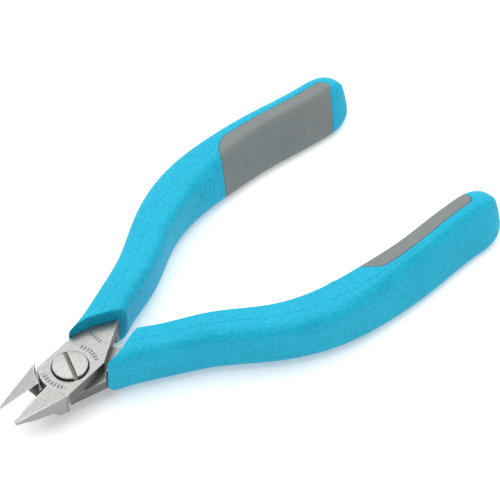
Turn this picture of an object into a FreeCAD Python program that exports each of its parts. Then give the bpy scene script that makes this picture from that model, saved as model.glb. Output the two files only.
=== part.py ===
import FreeCAD, Part
import math
import os
from FreeCAD import Vector

# Diagonal cutting pliers for fine wire: two steel halves lapped on a slotted pivot screw, each with a
# soft two-colour grip. Millimetres. Z is the pivot axis, z = 0 is the flat underside of the head, +X
# points to the jaw tips and the handles run to -X. The upper half carries the upper joint plate, the
# jaw on +Y and the handle on -Y; the lower half is its mirror image with the lower joint plate.
#
# Every half is drawn in its own plan with the cutting edge along the X axis, jaw on +Y and handle on
# -Y, as it lies when the jaws are shut. It is then turned by HALF_OPENING about the pivot.

# ---- joint -------------------------------------------------------------------------------------
HALF_OPENING = 7.45          # degrees each half stands open, with the spring relaxed
HEAD_THICKNESS = 5.5
PLATE_GAP = 0.04             # running gap between the two lapped plates
PLATE_RADIUS = 6.95          # front of each joint plate
SHOULDER_RADIUS = 7.70       # hollow in the other half that the plate turns in
EDGE_CHAMFER = 0.15

# ---- outline of one half, shut plan --------------------------------------------------------------
JAW_CLEARANCE = 0.03         # each cutting edge stops this far from the middle
TIP = (17.1, 0.70)           # outer corner of the blunt tip
JAW_ROOT_SIDE = 5.27         # the tapered jaw leaves the straight side of the head this far out
REAR_CORNER = (-5.38, 4.85)
REAR_END = (-16.10, -1.30)   # the rear edge meets the handle here
REAR_CORNER_RADIUS = 1.3
SIDE_FRONT = (8.50, -5.05)   # line of the handle-side edge of the head
SIDE_REAR = (-9.50, -5.85)
TANG_SHOULDER_GAP = 0.5      # from the other half's rear edge, jaws shut
UPPER_GRIP_GAP = 2.4         # same, to the front wall of the upper half's grip
LOWER_GRIP_GAP = 1.7         # and of the lower half's grip
WING_FRONT = -5.4            # the grip runs on beside the outer edge of the head to here
WING_ROUND = 1.6             # hollow corner between the front wall and that wing
# The wing's nose seen from the side: (set back from its front, height).
WING_NOSE = [(5.5, -4.5), (1.9, -1.9), (0.5, -0.2), (0.0, 1.9), (0.25, 5.3), (1.0, 8.0), (2.4, 9.5)]
TANG_STEP = 0.3              # the steel is this much thinner, top and bottom, inside the grip
TANG_STEP_AHEAD = 0.2        # the step lies this far in front of the grip's wall

# ---- jaw -----------------------------------------------------------------------------------------
SLOPE_START = (7.0, 0.0)     # the top face starts to fall here ...
SLOPE_SIDE = (5.5, 5.2)      # ... along a line through this point
TIP_TOP = 3.20               # height of the top face at the tip
BEVEL_START = 10.3           # the cutting bevel begins this far in front of the pivot
BEVEL_LAND = 0.12            # flat land left under the cutting edge
BEVEL_ANGLE = 45.0           # degrees from vertical
BEVEL_SWEEP = 0.5            # the bevel's back end runs back this much per millimetre of depth
RELIEF_START = 8.3           # the underside is hollowed out from here to the tip
RELIEF_TOP_START = 10.3
RELIEF_HEIGHT = 1.4
RELIEF_TIP_HEIGHT = 1.9

# ---- pivot screw, nut and return spring ------------------------------------------------------------
HEAD_RADIUS = 3.95
HEAD_RIM_TOP = 6.20
HEAD_CROWN = 6.45
HEAD_RIM_ROUND = 0.30
HEAD_BORE_RADIUS = 4.12
HEAD_SEAT = 4.60
HEAD_SEAT_GAP = 0.03
SLOT_WIDTH = 0.95
SLOT_FLOOR = 5.50
SLOT_ANGLE = 71.0            # degrees from +X
SHANK_RADIUS = 1.75
BORE_CLEARANCE = 0.05
NUT_RADIUS = 3.10
NUT_SEAT = 1.30
NUT_FACE = 0.15              # the nut and screw end stay this far above the underside
NUT_SLOT_WIDTH = 0.9
NUT_SLOT_DEPTH = 0.5
SPRING_RADIUS = 2.90
SPRING_WIRE = 0.30           # wire radius
SPRING_GAP = 0.10
SPRING_SPAN = 300.0          # degrees of ring
SPRING_START = 20.0
SPRING_LEG = 0.85            # how far each bent end reaches into its plate

# ---- handle --------------------------------------------------------------------------------------
# Stations along the handle: (x, y of the middle, half width of the grip).
HANDLE = [
    (-5.5, -1.5, 4.6),
    (-11.0, -2.6, 4.5),
    (-19.0, -5.40, 4.10),
    (-29.5, -8.8, 4.4),
    (-42.0, -14.9, 4.8),
    (-55.0, -18.1, 5.7),
    (-67.0, -17.9, 6.2),
    (-79.0, -16.4, 6.1),
    (-90.0, -14.1, 6.0),
]
HANDLE_END = (-104.1, -12.1)
END_HALF_WIDTH = 6.2
END_ROUND = 9.0              # length of the rounded end
END_POWER = 2.6              # superellipse exponent of the rounded end, seen from above
END_SHRINK = 0.15            # share of its height left at the very end
GRIP_TOP = 8.60
GRIP_BOTTOM_FRONT = -2.60
GRIP_BOTTOM_END = -3.50
GRIP_MIDDLE = 3.00           # height of the widest point
TOP_SQUARENESS_FRONT = 4.4   # superellipse exponents: 2 is round, larger is squarer
TOP_SQUARENESS_END = 2.9
BOTTOM_SQUARENESS_FRONT = 3.2
BOTTOM_SQUARENESS_END = 4.4
BOTTOM_TILT = 0.14           # near the front the underside hangs this share lower on the outer side ...
BOTTOM_TILT_END = -45.0      # ... fading out by here
# Toward the rear the section turns to fit the hand: the inner side leans back toward the face that
# its pad wraps over furthest, and the outer side toward the opposite face.
LEAN = 0.67                  # share of the half width given up at those faces
LEAN_START = -41.0
LEAN_FULL = -77.0
TANG_HALF_WIDTH = 2.8
TANG_END_HALF_WIDTH = 1.8
TANG_END = 7                 # the tang stops at this station
TANG_END_THICKNESS = 4.0

# ---- smooth pads let into the inner side of the grips ---------------------------------------------
PAD_DEPTH = 1.3
PAD_FIRST_STATION = 3        # the curve of its long edges starts at this station
PAD_SIDE_Y = -12.0           # the ends cross this line at ...
UPPER_PAD_ENDS = (-62.8, -99.8)
LOWER_PAD_ENDS = (-64.6, -100.4)
PAD_START_SLANT = 0.65       # ... and run this much in x per millimetre in y
PAD_END_SLANT = 0.9
PAD_WIDE_EDGE = -2.1         # reach over the middle line, measured toward the inner side
PAD_NARROW_EDGE = 0.80
PAD_CORNER = 3.5

RING_POINTS = 32
FAR = 30.0


def prism(points, low, high):
    """Upright prism over a closed plan polygon."""
    corners = [Vector(x, y, low) for x, y in points]
    face = Part.Face(Part.makePolygon(corners + corners[:1]))
    return face.extrude(Vector(0, 0, high - low))


def cylinder(radius, low, high):
    return Part.makeCylinder(radius, high - low, Vector(0, 0, low))


def shifted_rear_line(gap):
    """Two points on the other half's rear edge, jaws shut, moved back by gap, and the way it was moved."""
    start = Vector(REAR_CORNER[0], -REAR_CORNER[1], 0)
    end = Vector(REAR_END[0], -REAR_END[1], 0)
    along = (end - start).normalize()
    back = Vector(-along.y, along.x, 0)
    return start + back * gap, end + back * gap, back


def head_side_block(gap, low, high):
    """Everything on the jaw side of the shifted rear line."""
    start, end, back = shifted_rear_line(gap)
    near = start - (end - start) * 3
    far = end + (end - start) * 3
    corners = [near, far, far - back * 2 * FAR, near - back * 2 * FAR]
    return prism([(p.x, p.y) for p in corners], low, high)


def side_edge_at(x):
    """Where the straight outer edge of the head is at x."""
    share = (x - SIDE_FRONT[0]) / (SIDE_REAR[0] - SIDE_FRONT[0])
    return SIDE_FRONT[1] + share * (SIDE_REAR[1] - SIDE_FRONT[1])


def in_front_of_wall(gap):
    """Everything in front of the grip's wall and beside its wing."""
    start, end, _ = shifted_rear_line(gap)
    slope = (end.y - start.y) / (end.x - start.x)
    side_slope = (SIDE_REAR[1] - SIDE_FRONT[1]) / (SIDE_REAR[0] - SIDE_FRONT[0])
    corner_x = (side_edge_at(0) - start.y + slope * start.x) / (slope - side_slope)
    corner = (corner_x, side_edge_at(corner_x))
    inner = (end.x - FAR, end.y - slope * FAR)
    outline = [inner, corner, (FAR, side_edge_at(FAR)), (FAR, FAR), (inner[0], FAR)]
    return rounded_edges(prism(outline, -FAR, FAR), [corner], WING_ROUND)


def in_front_of_nose():
    """Everything in front of the wing's rounded nose."""
    curve = Part.BSplineCurve()
    curve.interpolate(Points=[Vector(WING_FRONT - back, -FAR, z) for back, z in WING_NOSE])
    low, high = curve.value(curve.FirstParameter), curve.value(curve.LastParameter)
    corners = [high, Vector(FAR, -FAR, high.z), Vector(FAR, -FAR, low.z), low]
    edges = [curve.toShape()] + [Part.makeLine(corners[i], corners[i + 1]) for i in range(3)]
    return Part.Face(Part.Wire(edges)).extrude(Vector(0, 2 * FAR, 0))


def rounded_edges(solid, spots, radius):
    """Fillet the upright edges that stand at the given plan points."""
    chosen = []
    for edge in solid.Edges:
        ends = [v.Point for v in edge.Vertexes]
        if len(ends) != 2 or abs(ends[0].z - ends[1].z) < 1.0:
            continue
        for x, y in spots:
            if all(math.hypot(p.x - x, p.y - y) < 0.05 for p in ends):
                chosen.append(edge)
    return solid.makeFillet(radius, chosen)


def plan_outline():
    """Full-thickness block in the outline of jaw, joint plate and the start of the tang."""
    tang = HANDLE[2]
    jaw_root = (math.sqrt(SHOULDER_RADIUS ** 2 - JAW_ROOT_SIDE ** 2), JAW_ROOT_SIDE)
    block = prism(
        [
            (SHOULDER_RADIUS, JAW_CLEARANCE),
            (TIP[0], JAW_CLEARANCE),
            TIP,
            jaw_root,
            REAR_CORNER,
            REAR_END,
            (tang[0], tang[1] + TANG_HALF_WIDTH),
            (tang[0], tang[1] - TANG_HALF_WIDTH),
            SIDE_REAR,
            SIDE_FRONT,
        ],
        0.0,
        HEAD_THICKNESS,
    )
    other_side = prism(
        [(0, -FAR), (FAR, -FAR), (FAR, JAW_CLEARANCE), (0, JAW_CLEARANCE)],
        0.0,
        HEAD_THICKNESS,
    )
    block = block.cut(other_side.cut(cylinder(PLATE_RADIUS, 0.0, HEAD_THICKNESS)))
    return rounded_edges(block, [REAR_CORNER], REAR_CORNER_RADIUS)


def falling_top():
    """Wedge above the jaw that leaves its top face falling toward the tip."""
    sx, sy = SLOPE_SIDE[0] - SLOPE_START[0], SLOPE_SIDE[1] - SLOPE_START[1]
    length = math.hypot(sx, sy)
    out = Vector(sy / length, -sx / length, 0)
    along = Vector(sx / length, sy / length, 0)
    reach = (Vector(TIP[0], JAW_CLEARANCE, 0) - Vector(SLOPE_START[0], SLOPE_START[1], 0)).dot(out)
    drop = (HEAD_THICKNESS - TIP_TOP) / reach
    start = Vector(SLOPE_START[0], SLOPE_START[1], HEAD_THICKNESS) - along * FAR
    far = start + out * (reach + 5.0) + Vector(0, 0, -drop * (reach + 5.0))
    lift = Vector(0, 0, 6.0)
    face = Part.Face(Part.makePolygon([start, far, far + lift, start + lift, start]))
    return face.extrude(along * (2 * FAR)), drop


def relief():
    """Hollow under the front of the jaw, with a round root."""
    far = TIP[0] + 4.0
    rise = (RELIEF_TIP_HEIGHT - RELIEF_HEIGHT) / (TIP[0] - RELIEF_TOP_START)
    foot = Vector(RELIEF_START, -FAR, -0.01)
    bend = Vector((RELIEF_START + RELIEF_TOP_START) / 2 - 0.45, -FAR, RELIEF_HEIGHT * 0.72)
    top = Vector(RELIEF_TOP_START, -FAR, RELIEF_HEIGHT)
    far_top = Vector(far, -FAR, RELIEF_HEIGHT + rise * (far - RELIEF_TOP_START))
    far_foot = Vector(far, -FAR, -0.01)
    edges = [Part.Arc(foot, bend, top).toShape()]
    for first, second in ((top, far_top), (far_top, far_foot), (far_foot, foot)):
        edges.append(Part.makeLine(first, second))
    return Part.Face(Part.Wire(edges)).extrude(Vector(0, 2 * FAR, 0))


def bevel(drop):
    """Material taken away under the cutting edge, so that the edge is sharp at the top face."""
    sections = []
    spread = math.tan(math.radians(BEVEL_ANGLE))
    for x in (BEVEL_START, TIP[0] + 3.0):
        top = HEAD_THICKNESS - drop * (x - SLOPE_START[0]) * 0.96 - BEVEL_LAND
        sweep = BEVEL_SWEEP if x == BEVEL_START else 0.0
        depth = top + 1.0
        corners = [
            Vector(x, -2.0, top),
            Vector(x, JAW_CLEARANCE, top),
            Vector(x - sweep * depth, JAW_CLEARANCE + spread * depth, top - depth),
            Vector(x - sweep * depth, -2.0, top - depth),
        ]
        sections.append(Part.makePolygon(corners + corners[:1]))
    return Part.makeLoft(sections, True, True)


def softened(body):
    """Small chamfer on the outline of the flat faces; the cutting edge and inner creases stay sharp."""
    chosen = []
    for edge in body.Edges:
        heights = [v.Point.z for v in edge.Vertexes]
        if not any(all(abs(h - level) < 1e-4 for h in heights) for level in (0.0, HEAD_THICKNESS)):
            continue
        middle = edge.valueAt((edge.FirstParameter + edge.LastParameter) / 2)
        on_shoulder = abs(math.hypot(middle.x, middle.y) - SHOULDER_RADIUS) < 0.05
        on_jaw = middle.x > 5.6 and middle.y > -0.1
        in_grip = middle.x < REAR_END[0]
        if on_shoulder or not (on_jaw or in_grip):
            chosen.append(edge)
    return body.makeChamfer(EDGE_CHAMFER, chosen)


def steel_half(plate_low, plate_high, grip_gap):
    """One forged half: jaw, joint plate between the two heights, and the tang inside the grip."""
    body = plan_outline()
    other_low = 0.0 if plate_low > 0 else plate_high
    other_high = plate_low if plate_low > 0 else HEAD_THICKNESS
    turning_room = cylinder(SHOULDER_RADIUS, other_low, other_high)
    behind = head_side_block(TANG_SHOULDER_GAP, other_low, other_high)
    in_front = prism([(0, -FAR), (FAR, -FAR), (FAR, FAR), (0, FAR)], other_low, other_high)
    body = body.cut(turning_room.fuse(behind.cut(in_front)))
    wedge, drop = falling_top()
    in_front_of_joint = prism([(4.5, 0), (FAR, 0), (FAR, FAR), (4.5, FAR)], 0, 2 * HEAD_THICKNESS)
    body = body.cut(wedge.common(in_front_of_joint))
    body = body.cut(relief().common(prism([(7, 0), (FAR, 0), (FAR, FAR), (7, FAR)], -1, HEAD_THICKNESS)))
    body = softened(body.cut(bevel(drop)).removeSplitter())
    for low, high in ((-1.0, TANG_STEP), (HEAD_THICKNESS - TANG_STEP, HEAD_THICKNESS + 1.0)):
        everything = prism([(-FAR, -FAR), (FAR, -FAR), (FAR, FAR), (-FAR, FAR)], low, high)
        body = body.cut(everything.cut(head_side_block(grip_gap - TANG_STEP_AHEAD, low, high)))
    return body.fuse(tang()).removeSplitter()


def handle_frame(index):
    """Middle point of one station and the unit normal toward the inner side."""
    points = [(x, y) for x, y, _ in HANDLE] + [HANDLE_END]
    x, y = points[index]
    before = points[max(index - 1, 0)]
    after = points[min(index + 1, len(points) - 1)]
    length = math.hypot(after[0] - before[0], after[1] - before[1])
    tx, ty = (after[0] - before[0]) / length, (after[1] - before[1]) / length
    return Vector(x, y, 0), Vector(ty, -tx, 0)


def tang():
    """Steel bar inside the grip, from the head to well down the handle."""
    wires = []
    first = 2
    tallest = HEAD_THICKNESS - 2 * TANG_STEP
    for index in range(first, TANG_END + 1):
        share = (index - first) / (TANG_END - first)
        middle, inward = handle_frame(index)
        if index == first:
            inward = Vector(0, 1, 0)
        half = TANG_HALF_WIDTH + (TANG_END_HALF_WIDTH - TANG_HALF_WIDTH) * share
        tall = tallest + (TANG_END_THICKNESS - tallest) * share
        low = (HEAD_THICKNESS - tall) / 2
        corners = [
            middle + inward * half + Vector(0, 0, low),
            middle - inward * half + Vector(0, 0, low),
            middle - inward * half + Vector(0, 0, low + tall),
            middle + inward * half + Vector(0, 0, low + tall),
        ]
        wires.append(Part.makePolygon(corners + corners[:1]))
    return Part.makeLoft(wires, True, True)


def lean_at(x):
    """Share of the half width that the sides lean back by at x."""
    share = min(max((x - LEAN_START) / (LEAN_FULL - LEAN_START), 0.0), 1.0)
    return LEAN * share * share * (3 - 2 * share)


def grip_section(middle, inward, half, share, shrink, inset, lean_top):
    """Closed wire across the grip: a superellipse whose two sides lean back at opposite faces."""
    tilt = BOTTOM_TILT * max(0.0, 1 - middle.x / BOTTOM_TILT_END)
    bottom = GRIP_BOTTOM_FRONT + (GRIP_BOTTOM_END - GRIP_BOTTOM_FRONT) * share
    top_power = TOP_SQUARENESS_FRONT + (TOP_SQUARENESS_END - TOP_SQUARENESS_FRONT) * share
    low_power = BOTTOM_SQUARENESS_FRONT + (BOTTOM_SQUARENESS_END - BOTTOM_SQUARENESS_FRONT) * share
    up = (GRIP_TOP - GRIP_MIDDLE - inset) * shrink
    down = (GRIP_MIDDLE - bottom - inset) * shrink
    points = []
    for i in range(RING_POINTS):
        angle = 2 * math.pi * i / RING_POINTS
        c, s = math.cos(angle), math.sin(angle)
        power = top_power if s >= 0 else low_power
        across = math.copysign(abs(c) ** (2 / power), c) * (half - inset)
        below = down * (1 - tilt * across / half)
        rise = math.copysign(abs(s) ** (2 / power), s) * (up if s >= 0 else below)
        height = (rise + down) / (up + down)
        across *= 1 - lean_at(middle.x) * (height if lean_top == (across > 0) else 1 - height)
        points.append(middle + inward * across + Vector(0, 0, GRIP_MIDDLE + rise))
    curve = Part.BSplineCurve()
    curve.interpolate(Points=points, PeriodicFlag=True)
    return Part.Wire(curve.toShape())


def grip_body(inset, lean_top):
    """The whole handle grip before the pad is let in, made smaller by inset all round."""
    wires = []
    for index, (x, y, half) in enumerate(HANDLE):
        middle, inward = handle_frame(index)
        share = x / HANDLE_END[0]
        wires.append(grip_section(middle, inward, half, share, 1.0, inset, lean_top))
    end = Vector(HANDLE_END[0], HANDLE_END[1], 0)
    back = end - Vector(HANDLE[-1][0], HANDLE[-1][1], 0)
    back.normalize()
    inward = Vector(back.y, -back.x, 0)
    for turn in (0.0, 30.0, 50.0, 66.0, 78.0, 86.0):
        along = math.sin(math.radians(turn))
        narrow = (1 - along ** END_POWER) ** (1 / END_POWER)
        middle = end - back * (END_ROUND * (1 - along) + inset)
        half = (END_HALF_WIDTH - inset) * narrow + inset
        shrink = END_SHRINK + (1 - END_SHRINK) * narrow
        wires.append(grip_section(middle, inward, half, 1.0, shrink, inset, lean_top))
    return Part.makeLoft(wires, True, False)


def pad_plan(edge, ends, low, high):
    """Plan area of the pad between two heights: from its edge on the grip outward past the inner side."""
    border = []
    for index in range(PAD_FIRST_STATION, len(HANDLE) + 1):
        middle, inward = handle_frame(index)
        border.append(middle + inward * edge + Vector(0, 0, low))
    curve = Part.BSplineCurve()
    curve.interpolate(Points=border)
    first, last = curve.value(curve.FirstParameter), curve.value(curve.LastParameter)
    far_side = [Vector(last.x, FAR, low), Vector(first.x, FAR, low)]
    edges = [
        curve.toShape(),
        Part.makeLine(last, far_side[0]),
        Part.makeLine(far_side[0], far_side[1]),
        Part.makeLine(far_side[1], first),
    ]
    strip = Part.Face(Part.Wire(edges)).extrude(Vector(0, 0, high - low))
    window = []
    for x, slant, y in (
        (ends[0], PAD_START_SLANT, -FAR),
        (ends[0], PAD_START_SLANT, FAR),
        (ends[1], PAD_END_SLANT, FAR),
        (ends[1], PAD_END_SLANT, -FAR),
    ):
        window.append((x + slant * (y - PAD_SIDE_Y), y))
    area = strip.common(prism(window, low, high))
    corners = []
    for e in area.Edges:
        spots = [v.Point for v in e.Vertexes]
        if len(spots) == 2 and abs(spots[0].z - spots[1].z) > 1 and spots[0].y < 0:
            corners.append(e)
    return area.makeFillet(PAD_CORNER, corners)


def pad_and_grip(front_gap, pad_ends, top_edge, bottom_edge):
    """The smooth pad and the soft grip around it, before the steel is cut out of the grip."""
    lean_top = top_edge < bottom_edge
    outer = grip_body(0.0, lean_top).cut(in_front_of_wall(front_gap)).cut(in_front_of_nose())
    core = grip_body(PAD_DEPTH, lean_top)
    top_area = pad_plan(top_edge, pad_ends, GRIP_MIDDLE, FAR)
    area = top_area.fuse(pad_plan(bottom_edge, pad_ends, -FAR, GRIP_MIDDLE))
    pad = outer.common(area).cut(core)
    return pad, outer.cut(pad)


def pivot_screw():
    """Slotted screw with a low domed head."""
    low = HEAD_SEAT + HEAD_SEAT_GAP
    rim = HEAD_RADIUS - HEAD_RIM_ROUND
    round_mid = HEAD_RIM_ROUND * math.cos(math.radians(45))
    edges = [
        Part.makeLine(Vector(0, 0, low), Vector(HEAD_RADIUS, 0, low)),
        Part.makeLine(Vector(HEAD_RADIUS, 0, low), Vector(HEAD_RADIUS, 0, HEAD_RIM_TOP - HEAD_RIM_ROUND)),
        Part.Arc(
            Vector(HEAD_RADIUS, 0, HEAD_RIM_TOP - HEAD_RIM_ROUND),
            Vector(rim + round_mid, 0, HEAD_RIM_TOP - HEAD_RIM_ROUND + round_mid),
            Vector(rim, 0, HEAD_RIM_TOP),
        ).toShape(),
        Part.Arc(
            Vector(rim, 0, HEAD_RIM_TOP),
            Vector(rim / 2, 0, HEAD_RIM_TOP + (HEAD_CROWN - HEAD_RIM_TOP) * 0.75),
            Vector(0, 0, HEAD_CROWN),
        ).toShape(),
        Part.makeLine(Vector(0, 0, HEAD_CROWN), Vector(0, 0, low)),
    ]
    head = Part.Face(Part.Wire(edges)).revolve(Vector(0, 0, 0), Vector(0, 0, 1), 360)
    shank = cylinder(SHANK_RADIUS, NUT_FACE, low + 0.1)
    slot = Part.makeBox(2 * FAR, SLOT_WIDTH, 5.0, Vector(-FAR, -SLOT_WIDTH / 2, SLOT_FLOOR))
    slot.rotate(Vector(0, 0, 0), Vector(0, 0, 1), SLOT_ANGLE)
    return head.fuse(shank).cut(slot)


def pivot_nut():
    """Round nut sunk in the underside, with a driver slot across its face."""
    ring = cylinder(NUT_RADIUS, NUT_FACE, NUT_SEAT).cut(cylinder(SHANK_RADIUS, NUT_FACE, NUT_SEAT))
    slot = Part.makeBox(2 * FAR, NUT_SLOT_WIDTH, NUT_SLOT_DEPTH, Vector(-FAR, -NUT_SLOT_WIDTH / 2, NUT_FACE))
    return ring.cut(slot)


def spring_end(angle):
    turn = math.radians(angle)
    return Vector(SPRING_RADIUS * math.cos(turn), SPRING_RADIUS * math.sin(turn), HEAD_THICKNESS / 2)


def return_spring():
    """Open wire ring round the screw; one end is bent up into the upper plate, the other one down."""
    ring = Part.makeTorus(
        SPRING_RADIUS, SPRING_WIRE, Vector(0, 0, HEAD_THICKNESS / 2), Vector(0, 0, 1), 0, 360, SPRING_SPAN
    )
    ring.rotate(Vector(0, 0, 0), Vector(0, 0, 1), SPRING_START)
    for angle, way in ((SPRING_START, 1), (SPRING_START + SPRING_SPAN, -1)):
        end = spring_end(angle)
        ring = ring.fuse(Part.makeSphere(SPRING_WIRE, end))
        ring = ring.fuse(Part.makeCylinder(SPRING_WIRE, SPRING_LEG, end, Vector(0, 0, way)))
    return ring


def spring_groove(low, high):
    outer = cylinder(SPRING_RADIUS + SPRING_WIRE + SPRING_GAP, low, high)
    return outer.cut(cylinder(SPRING_RADIUS - SPRING_WIRE - SPRING_GAP, low, high))


def arc_slot(start, span, low, high):
    """Round-ended slot round the pivot that the spring's bent end moves in."""
    reach = SPRING_WIRE + SPRING_GAP
    ring = cylinder(SPRING_RADIUS + reach, low, high).cut(cylinder(SPRING_RADIUS - reach, low, high))
    pie = Part.makeCylinder(FAR, high - low, Vector(0, 0, low), Vector(0, 0, 1), span)
    pie.rotate(Vector(0, 0, 0), Vector(0, 0, 1), start)
    slot = ring.common(pie)
    for angle in (start, start + span):
        end = spring_end(angle)
        slot = slot.fuse(Part.makeCylinder(reach, high - low, Vector(end.x, end.y, low)))
    return slot


def opened(solid, mirrored):
    """Turn a part from the shut plan to where it lies with the jaws open."""
    if mirrored:
        solid = solid.mirror(Vector(0, 0, 0), Vector(0, 1, 0))
    solid.rotate(Vector(0, 0, 0), Vector(0, 0, 1), -HALF_OPENING if mirrored else HALF_OPENING)
    return solid


def upper_half():
    """Half with the upper plate, the bore for the screw's head and the spring's slot."""
    middle = HEAD_THICKNESS / 2
    half = opened(steel_half(middle + PLATE_GAP / 2, HEAD_THICKNESS, UPPER_GRIP_GAP), False)
    half = half.cut(cylinder(SHANK_RADIUS + BORE_CLEARANCE, 0, HEAD_THICKNESS))
    half = half.cut(cylinder(HEAD_BORE_RADIUS, HEAD_SEAT, HEAD_THICKNESS))
    deep = SPRING_WIRE + SPRING_GAP
    half = half.cut(spring_groove(middle, middle + deep))
    return half.cut(arc_slot(SPRING_START, 2 * HALF_OPENING, middle, middle + SPRING_LEG + SPRING_GAP))


def lower_half():
    """Half with the lower plate, the seat of the nut and the hole for the spring's other end."""
    middle = HEAD_THICKNESS / 2
    half = opened(steel_half(0.0, middle - PLATE_GAP / 2, LOWER_GRIP_GAP), True)
    half = half.cut(cylinder(SHANK_RADIUS, 0, HEAD_THICKNESS))
    half = half.cut(cylinder(NUT_RADIUS, 0, NUT_SEAT))
    deep = SPRING_WIRE + SPRING_GAP
    half = half.cut(spring_groove(middle - deep, middle))
    end = spring_end(SPRING_START + SPRING_SPAN)
    leg = SPRING_LEG + SPRING_GAP
    return half.cut(Part.makeCylinder(SPRING_WIRE + SPRING_GAP, leg, Vector(end.x, end.y, middle - leg)))


def build():
    parts = {
        "upper_half": upper_half(),
        "lower_half": lower_half(),
        "pivot_screw": pivot_screw(),
        "pivot_nut": pivot_nut(),
        "return_spring": return_spring(),
    }
    for name, mirrored, gap, ends, top, bottom in (
        ("upper", False, UPPER_GRIP_GAP, UPPER_PAD_ENDS, PAD_WIDE_EDGE, PAD_NARROW_EDGE),
        ("lower", True, LOWER_GRIP_GAP, LOWER_PAD_ENDS, PAD_NARROW_EDGE, PAD_WIDE_EDGE),
    ):
        pad, grip = pad_and_grip(gap, ends, top, bottom)
        parts[name + "_pad"] = opened(pad, mirrored)
        parts[name + "_grip"] = opened(grip, mirrored).cut(parts[name + "_half"])
    return parts


os.makedirs("parts", exist_ok=True)
for node, shape in build().items():
    solids = shape.Solids
    print(node, "solids", len(solids), "valid", shape.isValid(), "volume %.1f" % shape.Volume)
    solids[0].exportStep("parts/" + node + ".step")
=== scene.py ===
import functools
import math

import bmesh
import bpy
import numpy as np
from mathutils import Matrix, Vector
from mathutils.geometry import delaunay_2d_cdt
from mathutils.kdtree import KDTree


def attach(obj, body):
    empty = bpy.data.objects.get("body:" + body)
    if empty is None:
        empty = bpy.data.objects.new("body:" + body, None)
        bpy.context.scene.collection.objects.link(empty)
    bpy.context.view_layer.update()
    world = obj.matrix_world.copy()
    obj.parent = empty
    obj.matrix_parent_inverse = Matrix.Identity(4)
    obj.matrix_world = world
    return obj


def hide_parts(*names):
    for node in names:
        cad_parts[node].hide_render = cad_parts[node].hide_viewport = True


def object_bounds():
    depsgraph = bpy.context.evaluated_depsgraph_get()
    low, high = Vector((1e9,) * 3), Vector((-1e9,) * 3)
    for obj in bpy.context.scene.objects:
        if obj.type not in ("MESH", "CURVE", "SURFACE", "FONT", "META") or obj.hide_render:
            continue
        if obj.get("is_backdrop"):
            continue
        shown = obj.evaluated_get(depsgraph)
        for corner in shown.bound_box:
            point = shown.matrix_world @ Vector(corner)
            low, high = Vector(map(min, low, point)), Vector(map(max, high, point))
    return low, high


# Visual model of a pair of precision diagonal cutting pliers, in the frame of the CAD model: Z is the
# pivot axis, +X points to the jaw tips, and the two handles run to -X. The steel parts are the CAD
# solids with finer finishes. The soft grips and the smooth pads let into them are rebuilt here as
# meshes. Lengths are millimetres until a mesh is made, and the handle is drawn as it lies with the jaws
# shut: "along" runs along its middle line, "around" runs round its section from the middle of the top,
# positive toward the inner side, and "depth" is measured inward from the surface.
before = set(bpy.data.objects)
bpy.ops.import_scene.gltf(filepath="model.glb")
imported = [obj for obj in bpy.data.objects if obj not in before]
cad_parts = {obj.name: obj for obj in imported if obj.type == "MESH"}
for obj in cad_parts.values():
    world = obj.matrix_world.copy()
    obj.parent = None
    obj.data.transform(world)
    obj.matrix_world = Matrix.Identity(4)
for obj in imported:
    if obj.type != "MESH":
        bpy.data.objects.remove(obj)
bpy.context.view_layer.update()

MM = 0.001

# ---- handle: the same curve and sections as the CAD model ------------------------------------------
HALF_OPENING = 7.45              # degrees
HANDLE = (
    (-5.5, -1.5, 4.6),           # x, y of the middle, half width
    (-11.0, -2.6, 4.5),
    (-19.0, -5.40, 4.10),
    (-29.5, -8.8, 4.4),
    (-42.0, -14.9, 4.8),
    (-55.0, -18.1, 5.7),
    (-67.0, -17.9, 6.2),
    (-79.0, -16.4, 6.1),
    (-90.0, -14.1, 6.0),
    (-104.1, -12.1, 6.2),
)
END_ROUND = 9.0
END_POWER = 2.6
END_SHRINK = 0.15
GRIP_TOP = 8.60
GRIP_BOTTOM_FRONT = -2.60
GRIP_BOTTOM_END = -3.50
GRIP_MIDDLE = 3.00
TOP_SQUARENESS_FRONT = 4.4
TOP_SQUARENESS_END = 2.9
BOTTOM_SQUARENESS_FRONT = 3.2
BOTTOM_SQUARENESS_END = 4.4
BOTTOM_TILT = 0.14               # near the front the underside hangs lower on the outer side
BOTTOM_TILT_END = -45.0
LEAN = 0.67                      # toward the rear both sides lean back, at opposite faces
LEAN_START = -41.0
LEAN_FULL = -77.0

# ---- front of the grip -------------------------------------------------------------------------------
REAR_CORNER = (-5.38, -4.85)     # the other half's rear edge starts here ...
REAR_WAY = (-0.8674, 0.4976)     # ... and runs this way
UPPER_GRIP_GAP = 2.4             # from that edge to the front wall
LOWER_GRIP_GAP = 1.7
SIDE_POINT = (-9.50, -5.85)      # the outer edge of the head runs through this point ...
SIDE_SLOPE = 0.0444              # ... with this slope; the wing lies against it
WING_FRONT = -5.4
WING_ROUND = 1.6                 # hollow corner between the wall and the wing
WING_NOSE = ((5.5, -4.5), (1.9, -1.9), (0.5, -0.2), (0.0, 1.9), (0.25, 5.3), (1.0, 8.0), (2.4, 9.5))
WALL_LIP = 0.8                   # rounding of the wall's rim
WING_LIP = 0.15                  # rounding of the wing's rim
LIP_START = -4.5                 # "around" where the wall's rim begins
LIP_END = 19.0                   # "around" where it is over
LIP_BLEND = 3.0                  # length of the change from one rounding to the other
FRONT_BLEND = 26.0               # from here on the mesh rows lie straight across the handle

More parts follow.
